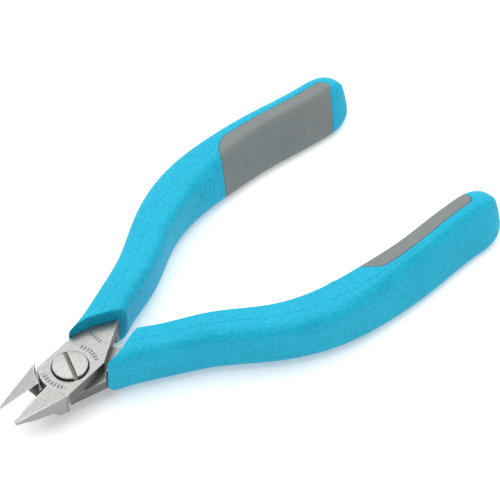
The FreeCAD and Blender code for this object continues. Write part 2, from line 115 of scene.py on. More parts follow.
# ---- pad, seams and marks ----------------------------------------------------------------------------
PAD_DEPTH = 1.2
PAD_SIDE_Y = -12.0               # the ends cross this line at ...
UPPER_PAD_ENDS = (-62.8, -99.8)
LOWER_PAD_ENDS = (-64.6, -100.4)
PAD_START_SLANT = 0.65           # ... and run this much in x per millimetre in y
PAD_END_SLANT = 0.9
PAD_WIDE_EDGE = -2.1             # reach of its long edges from the middle line
PAD_NARROW_EDGE = 0.80
PAD_CORNER = 3.5
SEAM_ROUND = 0.18                # rounding of the pad's rim and of the grip's rim round it
SEAM_GAP = 0.05
PAD_FLOOR_GAP = 0.02             # between the pad's underside and the recess
PAD_REACH = 50.0                 # the pad lies within this length from the handle's end
PARTING_AROUND = -0.3            # the mould's parting line
PARTING_WIDTH = 0.26
PARTING_DEPTH = 0.09
ROW = 0.6                        # spacing of the mesh rows
RING_STEP = 0.35                 # spacing of points on the seams and marks
POINT_CLEARANCE = 0.7 * RING_STEP
MARK_HEIGHT = 0.14
BADGE_X = -58.3                  # plain raised ring on the inner side, in front of the pad
BADGE_RISE = 4.4                 # height of its middle
BADGE_RADIUS = 2.9
BADGE_INNER = 0.45               # radius of its inner ring, as a share of the outer one
DOT_COUNT = 7                    # row of small raised rings on the pad
DOT_START = 5.0                  # from the pad's front end to the middle of the first one
DOT_RADIUS = 1.15
DOT_PITCH = 4.0

# ---- grip and pad colours ----------------------------------------------------------------------------
BLUE_DARK = (0.002, 0.385, 0.57)
BLUE_LIGHT = (0.005, 0.455, 0.665)
BLUE_GRAIN = (0.7, 0.18)         # size and depth
GREY_DARK = (0.18, 0.20, 0.20)
GREY_LIGHT = (0.21, 0.235, 0.235)
GREY_GRAIN = (0.25, 0.008)
RUBBER_ROUGHNESS = 0.5
RUBBER_SHINE = 0.25

# ---- steel -------------------------------------------------------------------------------------------
STEEL = (0.30, 0.30, 0.291)
WALL_STEEL = (0.33, 0.33, 0.325)
PAINTED_JOINT_SHADE = (0.055, 0.052, 0.048)    # painted shade on the walls behind the jaws
JOINT_SHADE_STRENGTH = 0.62               # how strong the painted shade is there
JOINT_SHADE_FADE = (4.6, 6.0)          # x at which the painted shade starts to fade and is gone
THROAT_HALF_WIDTH = 3.2          # between the jaws the painted shade reaches further along X ...
THROAT_LENGTH = 4.0              # ... by this much
WORN_STEEL = (0.72, 0.72, 0.70)  # bright edges
WORN_WIDTH = 0.35
ETCHED = (0.16, 0.155, 0.15)
SCREW = (0.33, 0.33, 0.326)
# painted shade in the screw's slot and down the side of its head
PAINTED_SLOT_SHADE = (0.19, 0.17, 0.155)
WIRE = (0.45, 0.45, 0.46)
# painted shade in the screw bore round the head
PAINTED_BORE_SHADE = (0.10, 0.09, 0.08)
SCREW_BORE = 4.2                 # radius
SLOT_SHADE_BELOW = 5.8            # height below which shade is painted on the screw
MARKED_FACE = 5.4                # height just under the top face
TICKS = 44                       # per turn
FRONT_ARC = (10.0, 32.0)         # degrees: middle and reach
REAR_ARC = 29.0                  # degrees on either side of -X
ARC_RADIUS = (5.75, 0.5)
ROW_PITCH = 0.75                 # short row of ticks beside the grip
ROW_X = (-9.0, 0.5)
ROW_Y = (-2.8, 2.1)

# ---- floor, light and camera -------------------------------------------------------------------------
FLOOR_LIGHT = (0.93, 0.93, 0.93)
FLOOR_DARK = (0.9, 0.9, 0.9)
FLOOR_GLOW = 0.25                # the floor is a softly lit table, so shadows stay pale
FLOOR_REACH = 3.0                # metres
WORLD_STRENGTH = 0.60
KEY_PLACE = (-0.25, -0.25, 0.80)  # metres
KEY_AIM = (-0.05, 0.0, 0.0)
KEY_SIZE = 1.2
KEY_POWER = 8.9
CAMERA_PLACE = (154.35, 245.41, 352.38)
CAMERA_ELEVATION = 47.383
CAMERA_AZIMUTH = 50.156
CAMERA_ROLL = -1.714
CAMERA_LENS = 153.24


def smooth_spline(knots, values):
    """Natural cubic spline through rows of values, as a function of an array of positions."""
    knots, values = np.asarray(knots, float), np.asarray(values, float)
    gap = np.diff(knots)
    slope = np.diff(values, axis=0) / gap[:, None]
    system = np.eye(len(knots))
    right = np.zeros_like(values)
    for i in range(1, len(knots) - 1):
        system[i, i - 1:i + 2] = (gap[i - 1], 2 * (gap[i - 1] + gap[i]), gap[i])
        right[i] = 6 * (slope[i] - slope[i - 1])
    bend = np.linalg.solve(system, right)

    def at(place):
        i = np.clip(np.searchsorted(knots, place) - 1, 0, len(knots) - 2)
        b = ((place - knots[i]) / gap[i])[..., None]
        a = 1 - b
        curve = (a ** 3 - a) * bend[i] + (b ** 3 - b) * bend[i + 1]
        return a * values[i] + b * values[i + 1] + curve * gap[i][..., None] ** 2 / 6

    return at


def superellipse(angle, half, up, down, powers):
    """Across, toward the inner side, and rise of a section's outline at an angle."""
    c, s = np.cos(angle), np.sin(angle)
    power = np.where(s >= 0, *powers)
    across = np.sign(c) * np.abs(c) ** (2 / power) * half
    rise = np.sign(s) * np.abs(s) ** (2 / power) * np.where(s >= 0, up, down)
    return across, rise


def powers_at(plan_x):
    """Superellipse exponents above and below the widest point."""
    share = plan_x / HANDLE[-1][0]
    top = TOP_SQUARENESS_FRONT + (TOP_SQUARENESS_END - TOP_SQUARENESS_FRONT) * share
    bottom = BOTTOM_SQUARENESS_FRONT + (BOTTOM_SQUARENESS_END - BOTTOM_SQUARENESS_FRONT) * share
    return top, bottom


def section_table():
    """Angles round a middling section, outer side to outer side, and the "around" of each."""
    eased = np.linspace(0, 1, 500) ** 4 / 2
    quarter = np.concatenate([eased, 1 - eased[-2::-1]]) * math.pi / 2
    angles = np.unique(np.concatenate([quarter + k * math.pi / 2 for k in (-2, -1, 0, 1)]))
    half = np.mean([station[2] for station in HANDLE])
    up, down = GRIP_TOP - GRIP_MIDDLE, GRIP_MIDDLE - GRIP_BOTTOM_END
    across, rise = superellipse(angles, half, up, down, powers_at(HANDLE[-1][0] / 2))
    steps = np.hypot(np.diff(across), np.diff(rise))
    lengths = np.concatenate([[0.0], np.cumsum(steps)])
    return angles, np.interp(math.pi / 2, angles, lengths) - lengths


ANGLES, AROUND = section_table()
INNER_MIDDLE = float(np.interp(0.0, ANGLES, AROUND))  # "around" of the inner side's middle
SPOTS = np.array([station[:2] for station in HANDLE])
KNOTS = np.concatenate([[0.0], np.cumsum(np.hypot(*np.diff(SPOTS, axis=0).T))])
LENGTH = KNOTS[-1]
middle_line = smooth_spline(KNOTS, SPOTS)
half_width = smooth_spline(KNOTS, [station[2:] for station in HANDLE])
nose_setback = smooth_spline([z for _, z in WING_NOSE], [(back,) for back, _ in WING_NOSE])


def lean_at(plan_x):
    """How far a side leans back, as a share of the half width."""
    share = np.clip((plan_x - LEAN_START) / (LEAN_FULL - LEAN_START), 0, 1)
    return LEAN * share * share * (3 - 2 * share)


def surface(along, around, depth, lean_top):
    """Points of the handle, from arrays of equal length."""
    end_start = LENGTH - END_ROUND
    turn = np.sin(np.clip((along - end_start) / END_ROUND, 0, 1) * math.pi / 2)
    narrow = (1 - turn ** END_POWER) ** (1 / END_POWER)
    shrink = END_SHRINK + (1 - END_SHRINK) * narrow
    base = np.where(along > end_start, end_start + (END_ROUND - depth) * turn, along)
    middle = middle_line(base)
    tangent = middle_line(base + 0.2) - middle_line(base - 0.2)
    tangent /= np.linalg.norm(tangent, axis=1)[:, None]
    inward = np.column_stack([tangent[:, 1], -tangent[:, 0]])
    bottom = GRIP_BOTTOM_FRONT + (GRIP_BOTTOM_END - GRIP_BOTTOM_FRONT) * middle[:, 0] / HANDLE[-1][0]
    half = (half_width(base)[:, 0] - depth) * narrow
    up = (GRIP_TOP - GRIP_MIDDLE - depth) * shrink
    down = (GRIP_MIDDLE - bottom - depth) * shrink
    angle = np.interp(-around, -AROUND, ANGLES)
    across, rise = superellipse(angle, half, up, down, powers_at(middle[:, 0]))
    tilt = BOTTOM_TILT * np.maximum(0, 1 - middle[:, 0] / BOTTOM_TILT_END)
    share = np.divide(across, half, out=np.zeros_like(across), where=half > 1e-6)
    rise = np.where(rise < 0, rise * (1 - tilt * share), rise)
    height = (rise + down) / (up + down)
    lean = lean_at(middle[:, 0]) * np.where((across > 0) == lean_top, height, 1 - height)
    across = across * (1 - lean)
    return np.column_stack([middle + inward * across[:, None], GRIP_MIDDLE + rise])


def solve_along(around, depth, lean_top, measure, low, high):
    """The "along" at which measure(points) passes zero; it is positive at low and negative at high."""
    low = np.full_like(around, low)
    high = np.full_like(around, high)
    for _ in range(24):
        half = (low + high) / 2
        positive = measure(surface(half, around, depth, lean_top)) > 0
        low = np.where(positive, half, low)
        high = np.where(positive, high, half)
    return (low + high) / 2


def ahead_of_front(points, gap):
    """How far points lie in front of the grip's wall and the wing's nose."""
    past_wall = (points[:, :2] - REAR_CORNER) @ np.array([REAR_WAY[1], -REAR_WAY[0]]) + gap
    past_side = points[:, 1] - SIDE_POINT[1] - SIDE_SLOPE * (points[:, 0] - SIDE_POINT[0])
    hollow = np.hypot(np.maximum(WING_ROUND - past_wall, 0), np.maximum(WING_ROUND - past_side, 0))
    past_nose = points[:, 0] - WING_FRONT + nose_setback(points[:, 2])[:, 0]
    return np.maximum(WING_ROUND - hollow, past_nose)


class Sheet:
    """The grip's surface on flat coordinates (row, around): row 0 is its front rim."""

    def __init__(self, gap, lean_top):
        self.gap = gap
        self.lean_top = lean_top

    def lip(self, around):
        """Radius of the front rim: small on the wing, larger on the wall."""
        opening = np.clip((around - LIP_START) / LIP_BLEND, 0, 1)
        closing = np.clip((LIP_END - around) / LIP_BLEND, 0, 1)
        share = opening * closing
        return WING_LIP + (WALL_LIP - WING_LIP) * share * share * (3 - 2 * share)

    def points(self, row, around, depth):
        """Points in the shut plan, with the front rim rounded."""
        lip = self.lip(around)
        inset = 1 - np.minimum(row / lip, 1)
        depth = depth + lip * (1 - np.sqrt(1 - inset * inset))
        ahead = functools.partial(ahead_of_front, gap=self.gap)
        front = solve_along(around, depth, self.lean_top, ahead, -1.0, 24.0)
        along = np.where(row < FRONT_BLEND, front + row * (1 - front / FRONT_BLEND), row)
        return surface(along, around, depth, self.lean_top)


def before_line(points, x, slant):
    """How far points lie in front of a slanting line across the handle."""
    return points[:, 0] - x - slant * (points[:, 1] - PAD_SIDE_Y)


class PadOutline:
    """The pad's outline: a rectangle with round corners, fitted to the handle's surface."""

    def __init__(self, ends, top_edge, bottom_edge):
        self.lean_top = top_edge < bottom_edge
        self.before_start = functools.partial(before_line, x=ends[0], slant=PAD_START_SLANT)
        before_end = functools.partial(before_line, x=ends[1], slant=PAD_END_SLANT)
        table = np.linspace(LENGTH - PAD_REACH, LENGTH - 2, 60)
        self.table = table
        self.top = self.edge_around(table, top_edge, True)
        self.bottom = self.edge_around(table, bottom_edge, False)
        self.rounds = np.linspace(AROUND[-1], AROUND[0], 120)
        none = np.zeros_like(self.rounds)
        self.start = solve_along(self.rounds, none, self.lean_top, self.before_start, 30.0, LENGTH - 1)
        self.end = solve_along(self.rounds, none, self.lean_top, before_end, 30.0, LENGTH - 1)
        self.width = abs(ends[1] - ends[0])
        self.height = float(np.mean(self.bottom - self.top))

    @staticmethod
    def edge_around(along, edge, on_top):
        """The "around" of the long edge that lies at a reach from the middle line."""
        top_power, low_power = powers_at(middle_line(along)[:, 0])
        power = top_power if on_top else low_power
        turn = np.arccos((abs(edge) / half_width(along)[:, 0]) ** (power / 2))
        turn = turn if edge >= 0 else math.pi - turn
        return np.interp(turn if on_top else -turn, ANGLES, AROUND)

    def place(self, flat):
        """(along, around) of points given on the flat rectangle."""
        s, t = flat[:, 0] / self.width, flat[:, 1] / self.height
        around = np.full(len(flat), self.height / 2)
        for _ in range(6):
            start, end = np.interp(around, self.rounds, self.start), np.interp(around, self.rounds, self.end)
            along = start + (end - start) * s
            top, bottom = np.interp(along, self.table, self.top), np.interp(along, self.table, self.bottom)
            around = top + (bottom - top) * t
        return np.column_stack([along, around])

    def distance(self, spots):
        """Distance outside the outline of points (along, around); negative inside."""
        along, around = spots.T
        start, end = np.interp(around, self.rounds, self.start), np.interp(around, self.rounds, self.end)
        top, bottom = np.interp(along, self.table, self.top), np.interp(along, self.table, self.bottom)
        x = np.abs((along - start) / (end - start) - 0.5) * self.width - self.width / 2 + PAD_CORNER
        y = np.abs((around - top) / (bottom - top) - 0.5) * self.height - self.height / 2 + PAD_CORNER
        return np.hypot(np.maximum(x, 0), np.maximum(y, 0)) + np.minimum(np.maximum(x, y), 0) - PAD_CORNER

    def ring(self, offset):
        """Points of the outline moved outward by offset."""
        radius = PAD_CORNER + offset
        flat = []
        corners = ((1, 1, 0), (0, 1, 90), (0, 0, 180), (1, 0, 270))
        for right, low, first in corners:
            cx = self.width - PAD_CORNER if right else PAD_CORNER
            cy = self.height - PAD_CORNER if low else PAD_CORNER
            for turn in np.radians(np.linspace(first, first + 90, 13)):
                flat.append((cx + radius * math.cos(turn), cy + radius * math.sin(turn)))
        closed = np.array(flat + flat[:1])
        sides = np.hypot(*np.diff(closed, axis=0).T)
        dense = []
        for i, side in enumerate(sides):
            steps = max(1, round(side / RING_STEP))
            share = np.arange(steps)[:, None] / steps
            dense.append(closed[i] * (1 - share) + closed[i + 1] * share)
        return self.place(np.concatenate(dense))


def circle(center, radius):
    """Points of a circle on (along, around)."""
    turn = np.linspace(0, 2 * math.pi, max(16, round(2 * math.pi * radius / RING_STEP)), endpoint=False)
    return center + radius * np.column_stack([np.cos(turn), np.sin(turn)])


def triangles(loops, loose, inside_only):
    """Constrained triangulation of closed loops and loose points; points come back in the given order."""
    spots = np.concatenate(loops + [loose])
    edges = []
    start = 0
    for loop in loops:
        count = len(loop)
        edges += [(start + i, start + (i + 1) % count) for i in range(count)]
        start += count
    found = delaunay_2d_cdt([Vector(p) for p in spots.tolist()], edges, [], 1 if inside_only else 0, 1e-7)
    source = [ids[0] for ids in found[3]]
    faces = [[source[i] for i in face] for face in found[2]]
    return spots, faces


def raised_ring(center, radius):
    """Loops and their depths for a plain ring standing a little proud."""
    profile = ((0.0, 0.0), (0.12, -MARK_HEIGHT), (0.38, -MARK_HEIGHT), (0.5, 0.0))
    return [(circle(center, radius - inward), depth) for inward, depth in profile]


def seam_profile(sign, gap):
    """Offsets from the pad's outline and depths of the rounded rim on one side of the seam."""
    steps = []
    for share in (1.0, 0.6, 0.3, 0.1, 0.0):
        depth = SEAM_ROUND * (1 - math.sqrt(1 - (1 - share) ** 2))
        steps.append((sign * (gap + share * SEAM_ROUND), depth))
    return steps


def grid_points(rows, arounds, near, clear):
    """Grid points that keep clear of the given points."""
    tree = KDTree(len(near))
    for i, spot in enumerate(near):
        tree.insert((spot[0], spot[1], 0), i)
    tree.balance()
    mesh = np.array([(row, around) for row in rows for around in arounds])
    keep = [tree.find((p[0], p[1], 0))[2] > clear for p in mesh]
    return mesh[keep]


def finish_mesh(name, points, faces, mirrored, material):
    """Object from points in the shut plan: opened, in metres, welded, with outward normals."""
    turn = math.radians(-HALF_OPENING if mirrored else HALF_OPENING)
    points = points * (1, -1 if mirrored else 1, 1)
    spin = np.array(Matrix.Rotation(turn, 3, "Z"))
    mesh = bpy.data.meshes.new(name)
    mesh.from_pydata((points @ spin.T * MM).tolist(), [], faces)
    work = bmesh.new()
    work.from_mesh(mesh)
    bmesh.ops.remove_doubles(work, verts=work.verts, dist=0.004 * MM)
    bmesh.ops.dissolve_degenerate(work, edges=work.edges, dist=0.001 * MM)
    bmesh.ops.recalc_face_normals(work, faces=work.faces)
    work.to_mesh(mesh)
    work.free()
    mesh.shade_smooth()
    mesh.set_sharp_from_angle(angle=math.radians(50))
    piece = bpy.data.objects.new(name, mesh)
    piece.data.materials.append(material)
    bpy.context.scene.collection.objects.link(piece)
    return piece


def rim_and_marks(pad, rim, marks):
    """Loops of the seam's rim and of the marks, and the depth of each."""
    loops = [pad.ring(offset) for offset, _ in rim] + [spots for spots, _ in marks]
    depths = [depth for _, depth in rim] + [depth for _, depth in marks]
    return loops, depths


def depth_of_points(loops, depths, loose):
    """Depth of every point, in the order of the triangulation; loose points lie on the surface."""
    return np.concatenate([np.full(len(loop), d) for loop, d in zip(loops, depths)] + [np.zeros(len(loose))])


def walls_below(ring, count):
    """Quads from a ring of points down to the same ring, whose points come count later."""
    return [(a, b, b + count, a + count) for a, b in zip(ring, ring[1:] + ring[:1])]


def lowered(faces, count):
    """The same faces on points that come count later."""
    return [tuple(i + count for i in face) for face in faces]


def grip_rows():
    """Rows of the grip's mesh, close together on the front rim."""
    rows = np.concatenate([WALL_LIP * np.array([0, 0.02, 0.08, 0.2, 0.4, 0.7]), np.arange(1.0, LENGTH, ROW)])
    return np.append(rows[rows < LENGTH - 0.3], LENGTH)


def grip_arounds():
    """Places of the mesh lines round the grip, close together on the parting line."""
    groove = PARTING_AROUND + PARTING_WIDTH * np.array([-1, -0.5, 0, 0.5, 1])
    arounds = np.linspace(AROUND[-1], AROUND[0], round((AROUND[0] - AROUND[-1]) / ROW) + 1)
    clear = np.abs(arounds - PARTING_AROUND) > 2 * PARTING_WIDTH
    return np.sort(np.concatenate([arounds[clear], groove]))


def parting_depth(spots):
    """Depth of the parting line's groove at each point."""
    on_line = np.abs(spots[:, 1] - PARTING_AROUND) < 0.01
    return np.where(on_line & (spots[:, 0] > WALL_LIP), PARTING_DEPTH, 0.0)


def split_at_seam(pad, spots, faces, ring):
    """Faces outside and inside the pad's outline, whose own points are the ring."""
    side = np.sign(pad.distance(spots))
    side[ring] = 0.0
    outside = [f for f in faces if max(side[i] for i in f) > 0]
    inside = [f for f in faces if max(side[i] for i in f) <= 0]
    return outside, inside


def build_grip(name, gap, pad, marks, mirrored, material):
    """The grip's skin with the recess for the pad, and its front wall."""
    sheet = Sheet(gap, pad.lean_top)
    rim = seam_profile(1, 0.0)
    loops, depths = rim_and_marks(pad, rim, marks)
    arounds = grip_arounds()
    loose = grid_points(grip_rows(), arounds, np.concatenate(loops), POINT_CLEARANCE)
    spots, faces = triangles(loops, loose, False)
    depth = depth_of_points(loops, depths, loose) + parting_depth(spots)
    seam = len(rim) - 1
    first = sum(len(loop) for loop in loops[:seam])
    ring = list(range(first, first + len(loops[seam])))
    outside, inside = split_at_seam(pad, spots, faces, ring)
    outer_points = sheet.points(spots[:, 0], spots[:, 1], depth)
    floor_points = sheet.points(spots[:, 0], spots[:, 1], np.full(len(spots), PAD_DEPTH))
    count = len(spots)
    cap_points, cap = front_cap(sheet, arounds, 2 * count)
    points = np.concatenate([outer_points, floor_points, cap_points])
    faces = outside + walls_below(ring, count) + lowered(inside, count) + cap
    return finish_mesh(name, points, faces, mirrored, material)


def front_cap(sheet, arounds, first_index):
    """The upright face that closes the grip's front, spanned over its rim."""
    none = np.zeros_like(arounds)
    rim = sheet.points(none, arounds, none)[:-1]
    span = (rim[:, :2] - REAR_CORNER) @ np.array(REAR_WAY)
    flat = np.column_stack([-span, rim[:, 2]])
    spots, faces = triangles([flat], np.zeros((0, 2)), True)
    return rim, [tuple(first_index + i for i in f) for f in faces]


def build_pad(name, pad, marks, mirrored, material):
    """The smooth pad that fills the recess, with a rounded rim."""
    sheet = Sheet(UPPER_GRIP_GAP, pad.lean_top)
    rim = seam_profile(-1, SEAM_GAP)[::-1]
    loops, depths = rim_and_marks(pad, rim, marks)
    rows = np.arange(LENGTH - PAD_REACH, LENGTH, ROW)
    arounds = np.arange(AROUND[-1], AROUND[0], ROW)
    loose = grid_points(rows, arounds, np.concatenate(loops), POINT_CLEARANCE)
    loose = loose[pad.distance(loose) < -SEAM_GAP - SEAM_ROUND]
    spots, faces = triangles(loops, loose, True)
    depth = depth_of_points(loops, depths, loose)
    top = sheet.points(spots[:, 0], spots[:, 1], depth)
    bottom = sheet.points(spots[:, 0], spots[:, 1], np.full(len(spots), PAD_DEPTH - PAD_FLOOR_GAP))
    count = len(spots)
    ring = list(range(len(loops[0])))
    faces = faces + walls_below(ring, count) + lowered(faces, count)
    return finish_mesh(name, np.concatenate([top, bottom]), faces, mirrored, material)


# ---- materials ---------------------------------------------------------------------------------------
def new_material(name, color, roughness, metallic=0.0):
    """A material and its Principled shader."""
    material = bpy.data.materials.new(name)
    material.use_nodes = True
    shader = material.node_tree.nodes["Principled BSDF"]
    shader.inputs["Base Color"].default_value = (*color, 1)
    shader.inputs["Roughness"].default_value = roughness
    shader.inputs["Metallic"].default_value = metallic
    return material, shader


def node(material, kind, **settings):
    made = material.node_tree.nodes.new(kind)
    for name, value in settings.items():
        setattr(made, name, value)
    return made


def link(material, output, target):
    material.node_tree.links.new(output, target)


def scaled_position(material, scale):
    """Object coordinates in millimetres, stretched by scale."""
    place = node(material, "ShaderNodeTexCoord")
    mapping = node(material, "ShaderNodeMapping")
    mapping.inputs["Scale"].default_value = [factor / MM for factor in scale]
    link(material, place.outputs["Object"], mapping.inputs["Vector"])
    return mapping.outputs["Vector"]


def noise(material, vector, scale, detail=2.0, roughness=0.5):
    """Cloudy values round 0.5."""
    texture = node(material, "ShaderNodeTexNoise")
    texture.inputs["Scale"].default_value = scale
    texture.inputs["Detail"].default_value = detail
    texture.inputs["Roughness"].default_value = roughness
    link(material, vector, texture.inputs["Vector"])
    return texture.outputs["Fac"]


def ramp(material, value, low, high, start=0.3, end=0.7):
    """Maps a value to a range of numbers."""
    made = node(material, "ShaderNodeMapRange")
    for name, number in (("From Min", start), ("From Max", end), ("To Min", low), ("To Max", high)):
        made.inputs[name].default_value = number
    link(material, value, made.inputs["Value"])
    return made.outputs["Result"]


def mixed_color(material, value, first, second):
    """The first colour where the value is 0, the second one where it is 1."""
    made = node(material, "ShaderNodeMix", data_type="RGBA")
    made.inputs["A"].default_value = (*first, 1)
    made.inputs["B"].default_value = (*second, 1)
    link(material, value, made.inputs["Factor"])
    return made.outputs["Result"]


def math_node(material, operation, first, second=0.0):
    """Result of an operation on numbers or on other nodes' values."""
    made = node(material, "ShaderNodeMath", operation=operation)
    for socket, value in zip(made.inputs, (first, second)):
        if isinstance(value, (int, float)):
            socket.default_value = value
        else:
            link(material, value, socket)
    return made.outputs["Value"]


def split(material, vector):
    """The x, y and z of a vector."""
    made = node(material, "ShaderNodeSeparateXYZ")
    link(material, vector, made.inputs["Vector"])
    return made.outputs


def length(material, vector):
    """Length of a vector."""
    made = node(material, "ShaderNodeVectorMath", operation="LENGTH")
    link(material, vector, made.inputs[0])
    return made.outputs["Value"]


def above(material, value, level):
    """1 where the value is over the level."""
    return math_node(material, "GREATER_THAN", value, level)


def within(material, value, middle, reach):
    """1 where the value is no further than reach from middle."""
    offset = math_node(material, "ABSOLUTE", math_node(material, "SUBTRACT", value, middle))
    return math_node(material, "LESS_THAN", offset, reach)


def from_pivot(material):
    """Distance from the pivot's axis in millimetres."""
    return length(material, scaled_position(material, (1, 1, 0)))


def upright(material):
    """Mask of the walls that stand along the pivot axis."""
    surface_node = node(material, "ShaderNodeNewGeometry")
    _, _, z = split(material, surface_node.outputs["True Normal"])
    return ramp(material, math_node(material, "ABSOLUTE", z), 1.0, 0.0, 0.3, 0.8)


def bump(material, shader, height, depth_mm):
    """Shading relief from a height."""
    made = node(material, "ShaderNodeBump")
    made.inputs["Distance"].default_value = depth_mm * MM
    made.inputs["Strength"].default_value = 1.0
    link(material, height, made.inputs["Height"])
    link(material, made.outputs["Normal"], shader.inputs["Normal"])


def bent_cells(material, position, grain_size):
    """Rounded cells whose walls are bent by noise, like the grain of leather."""
    cells = node(material, "ShaderNodeTexVoronoi", feature="SMOOTH_F1")
    cells.inputs["Scale"].default_value = 1 / grain_size
    cells.inputs["Smoothness"].default_value = 0.6
    bent = node(material, "ShaderNodeVectorMath", operation="ADD")
    wobble = node(material, "ShaderNodeTexNoise")
    wobble.inputs["Scale"].default_value = 1.2 / grain_size
    link(material, position, wobble.inputs["Vector"])
    link(material, position, bent.inputs[0])
    link(material, wobble.outputs["Color"], bent.inputs[1])
    link(material, bent.outputs["Vector"], cells.inputs["Vector"])
    return cells.outputs["Distance"]


def grained_rubber(name, dark, light, grain_size, grain_depth):
    """Soft moulding with a fine leather grain and a slight drift of colour."""
    material, shader = new_material(name, light, RUBBER_ROUGHNESS)
    shader.inputs["Specular IOR Level"].default_value = RUBBER_SHINE
    position = scaled_position(material, (1, 1, 1))
    cells = bent_cells(material, position, grain_size)
    fine = noise(material, position, 2.5 / grain_size, 3.0)
    height = math_node(material, "ADD", cells, math_node(material, "MULTIPLY", fine, 0.5))
    bump(material, shader, height, grain_depth)
    mottle = noise(material, position, 0.9 / grain_size, 2.0)
    drift = noise(material, position, 0.12, 2.0)
    shade = math_node(material, "ADD", mottle, math_node(material, "MULTIPLY", drift, 0.4))
    color = mixed_color(material, ramp(material, shade, 0.0, 1.0, 0.55, 0.85), light, dark)
    link(material, color, shader.inputs["Base Color"])
    gloss = ramp(material, height, RUBBER_ROUGHNESS - 0.06, RUBBER_ROUGHNESS + 0.08)
    link(material, gloss, shader.inputs["Roughness"])
    return material


def steel(name, base, roughness, stretch):
    """Satin steel: grinding or turning lines, a faint cloudiness and a slight drift in gloss."""
    dark = [channel * 0.84 for channel in base]
    material, shader = new_material(name, base, roughness, 1.0)
    cloud = noise(material, scaled_position(material, (1, 1, 1)), 1.6, 6.0, 0.75)
    lines = noise(material, scaled_position(material, stretch), 1.0, 3.0, 0.6)
    color = mixed_color(material, ramp(material, cloud, 0, 1, 0.4, 0.6), base, dark)
    grain = math_node(material, "ADD", cloud, lines)
    gloss = ramp(material, grain, roughness - 0.07, roughness + 0.08, 0.7, 1.3)
    link(material, color, shader.inputs["Base Color"])
    link(material, gloss, shader.inputs["Roughness"])
    bump(material, shader, lines, 0.006)
    return material, shader


def shaded_by(material, shader, mask, color, roughness):
    """Where the mask is 1, the surface has another colour and roughness."""
    for name, value in (("Base Color", (*color, 1)), ("Roughness", roughness)):
        socket = shader.inputs[name]
        before = socket.links[0].from_socket
        kind = "RGBA" if name == "Base Color" else "FLOAT"
        made = node(material, "ShaderNodeMix", data_type=kind)
        sockets = [i for i in made.inputs if i.enabled]
        link(material, mask, sockets[0])
        link(material, before, sockets[1])
        sockets[2].default_value = value
        link(material, [o for o in made.outputs if o.enabled][0], socket)


def arcs_of_ticks(material, x, y):
    """Mask of two arcs of plain ticks round the screw."""
    radius = from_pivot(material)
    angle = math_node(material, "ARCTAN2", y, x)
    ticks = above(material, math_node(material, "SINE", math_node(material, "MULTIPLY", angle, TICKS)), 0.1)
    front = within(material, angle, math.radians(FRONT_ARC[0]), math.radians(FRONT_ARC[1]))
    rear = above(material, math_node(material, "ABSOLUTE", angle), math.pi - math.radians(REAR_ARC))
    arcs = math_node(material, "MAXIMUM", front, rear)
    ring = math_node(material, "MULTIPLY", within(material, radius, *ARC_RADIUS), ticks)
    return math_node(material, "MULTIPLY", ring, arcs)


def row_of_ticks(material, x, y):
    """Mask of the short row of plain ticks by the grip."""
    steps = math_node(material, "SINE", math_node(material, "MULTIPLY", y, 2 * math.pi / ROW_PITCH))
    row = math_node(material, "MULTIPLY", within(material, x, *ROW_X), above(material, steps, 0.1))
    return math_node(material, "MULTIPLY", row, within(material, y, *ROW_Y))


def etched_marks(material):
    """Mask of all the marks on the head's top face."""
    x, y, z = split(material, scaled_position(material, (1, 1, 1)))
    marks = math_node(material, "MAXIMUM", arcs_of_ticks(material, x, y), row_of_ticks(material, x, y))
    return math_node(material, "MULTIPLY", marks, above(material, z, MARKED_FACE))


def worn_edges(material):
    """Mask of the narrow band along sharp edges, where a rounded normal leaves the real one."""
    rounded = node(material, "ShaderNodeBevel")
    rounded.inputs["Radius"].default_value = WORN_WIDTH * MM
    real = node(material, "ShaderNodeNewGeometry")
    turned = node(material, "ShaderNodeVectorMath", operation="DOT_PRODUCT")
    link(material, rounded.outputs["Normal"], turned.inputs[0])
    link(material, real.outputs["Normal"], turned.inputs[1])
    band = ramp(material, turned.outputs["Value"], 1.0, 0.0, 0.88, 0.99)
    patches = noise(material, scaled_position(material, (1, 1, 1)), 0.7, 3.0)
    return math_node(material, "MULTIPLY", band, ramp(material, patches, 0.2, 0.9, 0.35, 0.65))


def joint_shade_mask(material):
    """Mask of painted shade on the standing walls behind the jaws and in the throat between them."""
    x, y, _ = split(material, scaled_position(material, (1, 1, 1)))
    throat = math_node(material, "MULTIPLY", within(material, y, 0.0, THROAT_HALF_WIDTH), THROAT_LENGTH)
    behind = math_node(material, "SUBTRACT", x, throat)
    fading = ramp(material, behind, JOINT_SHADE_STRENGTH, 0.0, *JOINT_SHADE_FADE)
    return math_node(material, "MULTIPLY", upright(material), fading)


def head_steel():
    """Fine ground faces, duller forged walls, painted shade behind the jaws, bright worn edges, plain etched
    ticks, painted shade in the screw bore.
    """
    material, shader = steel("head_steel", STEEL, 0.34, (0.35, 6, 6))
    shaded_by(material, shader, upright(material), WALL_STEEL, 0.42)
    # painted shade on the standing walls behind the jaws and in the throat
    shaded_by(material, shader, joint_shade_mask(material), PAINTED_JOINT_SHADE, 0.5)
    shaded_by(material, shader, worn_edges(material), WORN_STEEL, 0.3)
    shaded_by(material, shader, etched_marks(material), ETCHED, 0.6)
    # painted shade: the bore round the screw head is darkened
    bore_shade_mask = math_node(material, "LESS_THAN", from_pivot(material), SCREW_BORE)
    shaded_by(material, shader, bore_shade_mask, PAINTED_BORE_SHADE, 0.5)
    return material


